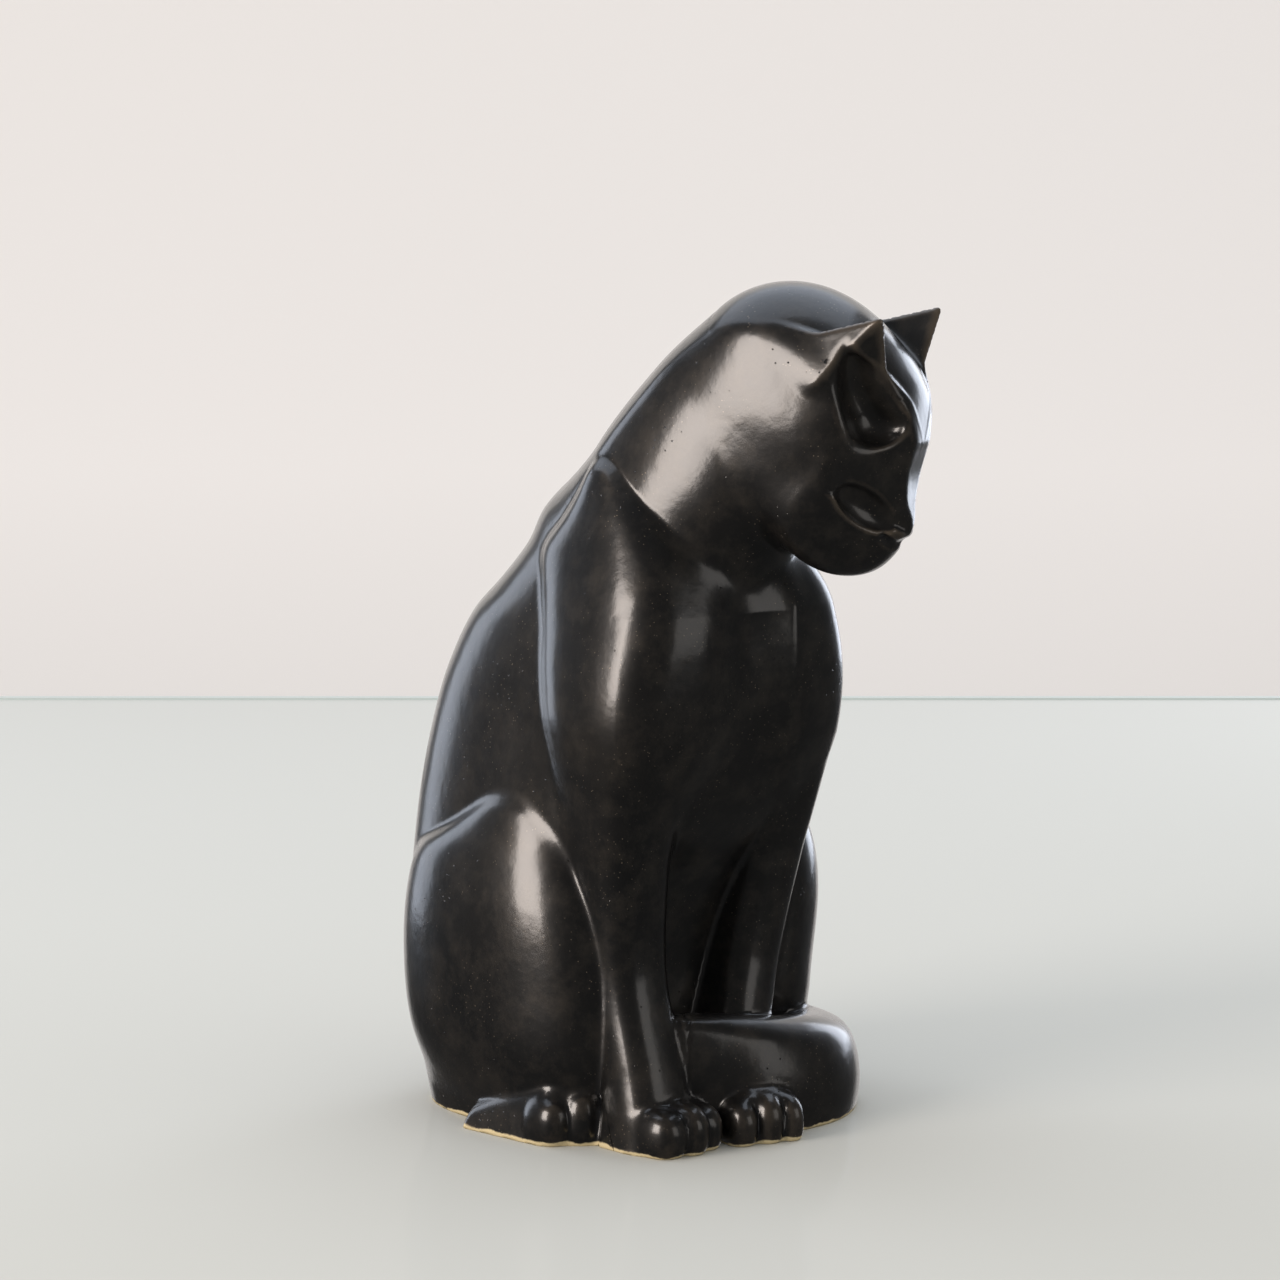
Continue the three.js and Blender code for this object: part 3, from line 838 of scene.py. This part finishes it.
cat_grid = field_grid(parts, CAT_LOW, CAT_HIGH, VOXEL, NAMES)
for limb in NAMES:
    step, (grid, origin) = VOXEL, cat_grid
    if limb in RIMMED:
        _, _, used = share(limb, grid, NAMES)
        low, high = origin + (used.min(0) - SPARE) * VOXEL, origin + (used.max(0) + SPARE) * VOXEL
        step = HEAD_VOXEL
        grid, origin = field_grid(parts, low, high, step, NAMES)
    piece = carve(limb + "_glazed", limb, grid, NAMES, origin, step, parts)
    piece.data.materials.append(GLAZE)
    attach(piece, "figurine")
    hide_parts(limb)


def lone(name, shape, low, high, step):
    """One closed mesh round a form of its own."""
    def alone(p):
        return {}, shape(p)
    cells, start = field_grid(alone, low, high, step, [])
    never = np.full(cells.shape[:3], -1e3, np.float32)
    points, quads, _ = surface(cells[..., 0], never, start, step)
    points = settle(points, np.ones(len(points), int), lambda p: in_chunks(shape, p), None, step)
    normals = unit(slope(lambda p: in_chunks(shape, p), points, 0.2))
    return make_mesh(name, points, quads, normals[quads], np.zeros(len(points)))


def rounded_slab(p):
    """The base slab: it closes the foot, with a stepped hole for the stopper."""
    hole, recess = openings(p)
    f = smax(slab_room(p, torso(p)) + GAP, -p[:, 2] + 0.1, 0.8)
    return smax(smax(f, -recess, 0.6), -hole, 0.6)


def stopper(p):
    """A tapered plug under a flange, with a pull bar across a dished recess."""
    r = np.hypot(p[:, 0], p[:, 1] - HOLE["y"])
    z = p[:, 2]
    plug_wall = np.interp(z, [3.7, 7.7, 14.0], [18.5, 18.5, 17.0])
    f = smax(smax(r - plug_wall, z - 14.0, 1.2), 3.0 - z, 0.5)
    flange = smax(smax(r - 22.6, z - 3.7, 0.8), 1.2 - z, 0.8)
    f = smin(f, flange, 0.4)
    f = smax(f, -smax(r - 12.0, z - 7.0, 1.6), 0.8)
    bar = smax(smax(np.abs(p[:, 1] - HOLE["y"]) - 2.5, np.abs(z - 2.45) - 1.25, 1.0), r - 13.2, 0.3)
    return smin(f, bar, 0.6)


slab = lone("base_slab_clay", rounded_slab, (-52, -30, -2), (52, 68, 12), FINE_VOXEL * 1.6)
slab.data.materials.append(CLAY)
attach(slab, "figurine")
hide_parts("base_slab")

plug = lone("stopper_rubber", stopper, (-25, 5, -1), (25, 55, 16), FINE_VOXEL)
plug.data.materials.append(RUBBER)
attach(plug, "stopper")
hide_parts("stopper")


# ---------------------------------------------------------------- stage, light and camera

AZIMUTH, ELEVATION = np.radians([-40.0, 8.0])
TARGET = Vector((0.0028, -0.0024, 0.159))
DISTANCE = 1.5
SENSOR = 36.0
IMAGE_WIDTH = 1280
PIXELS_PER_MM = 3.0                       # at the target
FRAME_WIDTH = IMAGE_WIDTH / PIXELS_PER_MM * MM
BACK = Vector((np.sin(AZIMUTH) * np.cos(ELEVATION), -np.cos(AZIMUTH) * np.cos(ELEVATION), np.sin(ELEVATION)))
RIGHT = Vector((np.cos(AZIMUTH), np.sin(AZIMUTH), 0))
AWAY = Vector((-np.sin(AZIMUTH), np.cos(AZIMUTH), 0))
UP = BACK.cross(RIGHT)

camera = bpy.data.objects.new("camera", bpy.data.cameras.new("camera"))
camera.data.sensor_width = SENSOR
camera.data.lens = SENSOR * DISTANCE / FRAME_WIDTH
camera.data.clip_start = 0.05
camera.location = TARGET + BACK * DISTANCE
camera.rotation_euler = (-BACK).to_track_quat("-Z", "Y").to_euler()
bpy.context.scene.collection.objects.link(camera)
bpy.context.scene.camera = camera


def stage_board(name, low, high, mat):
    """A plain block, its sides along the view and across it."""
    corners = [(x, y, z) for z in (low[2], high[2]) for y in (low[1], high[1]) for x in (low[0], high[0])]
    points = [RIGHT * x + AWAY * y + Vector((0, 0, z)) for x, y, z in corners]
    faces = [(0, 2, 3, 1), (4, 5, 7, 6), (0, 1, 5, 4), (2, 6, 7, 3), (0, 4, 6, 2), (1, 3, 7, 5)]
    mesh = bpy.data.meshes.new(name)
    mesh.from_pydata(points, [], faces)
    mesh.materials.append(mat)
    board = bpy.data.objects.new(name, mesh)
    bpy.context.scene.collection.objects.link(board)
    return board


def plain(name, colour, roughness, specular):
    mat, shader, _ = material(name)
    shader.inputs["Base Color"].default_value = (*colour, 1)
    shader.inputs["Roughness"].default_value = roughness
    shader.inputs["Specular IOR Level"].default_value = specular
    return mat


table_top = stage_board("table", (-3, -3, -0.012), (3, 0.90, 0),
                        plain("table", (0.555, 0.558, 0.525), 0.10, 0.5))
table_top.data.materials[0].node_tree.nodes["Principled BSDF"].inputs["IOR"].default_value = 1.04
table_top.visible_glossy = False
stage_board("table_edge", (-3, 0.90, -0.012), (3, 0.906, 0.0012),
            plain("table_edge", (0.50, 0.56, 0.54), 0.3, 0.3))
stage_board("wall", (-1.3, 2.2, -1.5), (1.3, 2.3, 1.6), plain("wall", (0.825, 0.80, 0.785), 0.9, 0.1))


def softbox(name, direction, distance, size, power, colour):
    """An area light aimed at the cat. direction is right, up and towards the camera, as the camera sees."""
    light = bpy.data.lights.new(name, "AREA")
    light.shape = "RECTANGLE"
    light.size, light.size_y = size
    light.energy = power
    light.color = colour
    obj = bpy.data.objects.new(name, light)
    way = (RIGHT * direction[0] + UP * direction[1] + BACK * direction[2]).normalized()
    obj.location = TARGET + way * distance
    obj.rotation_euler = way.to_track_quat("Z", "Y").to_euler()
    bpy.context.scene.collection.objects.link(obj)


softbox("key", (-0.80, 0.17, 0.58), 2.3, (1.10, 1.45), 43, (1.0, 0.90, 0.83))
softbox("top", (-0.10, 0.90, -0.30), 1.5, (2.2, 1.6), 12, (0.78, 0.86, 1.0))
softbox("rim", (0.62, 0.25, -0.74), 1.3, (0.5, 0.8), 4, (0.82, 0.88, 1.0))
softbox("back", (-0.80, 0.20, -0.56), 1.4, (0.5, 1.0), 3, (0.80, 0.87, 1.0))
softbox("fill", (0.85, 0.10, 0.50), 1.5, (0.7, 0.9), 1.6, (1.0, 0.96, 0.92))

# The room is bright to the floor and walls, and dark to reflections, which show the softboxes instead
world = bpy.data.worlds.new("studio")
world.use_nodes = True
sky = world.node_tree
background = next(n for n in sky.nodes if n.type == "BACKGROUND")
path = sky.nodes.new("ShaderNodeLightPath")
glow = sky.nodes.new("ShaderNodeMapRange")
sky.links.new(path.outputs["Is Glossy Ray"], glow.inputs["Value"])
glow.inputs["To Min"].default_value = 0.75
glow.inputs["To Max"].default_value = 0.05
sky.links.new(glow.outputs["Result"], background.inputs["Strength"])
background.inputs["Color"].default_value = (1.0, 0.99, 0.975, 1)
bpy.context.scene.world = world
bpy.context.scene.view_settings.view_transform = "Standard"
